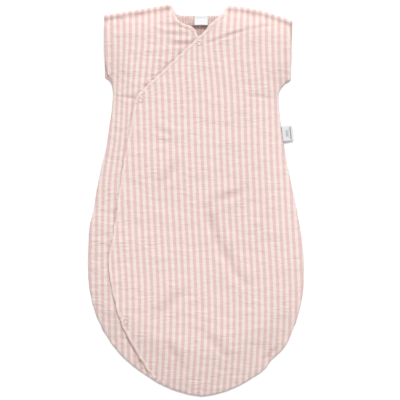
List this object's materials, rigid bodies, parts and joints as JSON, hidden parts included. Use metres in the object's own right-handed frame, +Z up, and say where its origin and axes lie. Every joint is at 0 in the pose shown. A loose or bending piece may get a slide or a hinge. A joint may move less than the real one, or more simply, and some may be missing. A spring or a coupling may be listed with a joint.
{
  "type": "baby sleeping bag",
  "caption": "Wrap-front baby sleeping bag in crinkled striped gauze with cap sleeves and a round foot, laid flat and empty; its over flap opens on ring snaps along the side.",
  "frame": {"origin": "middle of the bag's footprint, on the surface it rests on", "axes": "+X to the right as seen from above the front, +Y from the hem towards the neck, +Z up out of the front; the bag lies on its back panel"},
  "size_m": [0.36, 0.65, 0.0204],
  "materials": {
    "gauze": "crinkled double gauze, woven lengthwise stripes in soft pink and cream",
    "binding": "matte pale cotton binding",
    "elastic": "matte woven elastic",
    "label": "smooth white satin tape",
    "snap_metal": "satin pearl enamel"
  },
  "bodies": {
    "bag": {"back_panel": "gauze", "right_front_panel": "gauze", "left_front_panel": "gauze", "neck_casing": "gauze", "neck_elastic": "elastic", "neck_label": "label", "side_label": "label", "snap_2_stud": "snap_metal", "snap_2_back_ring": "snap_metal", "snap_3_stud": "snap_metal", "snap_3_back_ring": "snap_metal"},
    "over_flap": {"over_flap": "gauze", "over_edge_binding": "binding", "snap_1_front_ring": "snap_metal", "snap_1_socket": "snap_metal", "snap_2_front_ring": "snap_metal", "snap_2_socket": "snap_metal", "snap_3_front_ring": "snap_metal", "snap_3_socket": "snap_metal"},
    "under_flap": {"under_flap": "gauze", "under_edge_binding": "binding", "snap_1_stud": "snap_metal", "snap_1_back_ring": "snap_metal"}
  },
  "joints": [
    {"name": "over_flap_open", "type": "hinge", "parent": "bag", "child": "over_flap", "pos_m": [-0.091, -0.264, 0.0199], "axis": [0.2325, 0.9726, 0], "range_deg": [0, 170]},
    {"name": "under_flap_open", "type": "hinge", "parent": "bag", "child": "under_flap", "pos_m": [-0.091, -0.264, 0.0171], "axis": [0.0933, 0.9956, 0], "range_deg": [-50, 0]}
  ],
  "couplings": [
    {"joint": "under_flap_open", "follows": "over_flap_open", "ratio": -0.27}
  ]
}
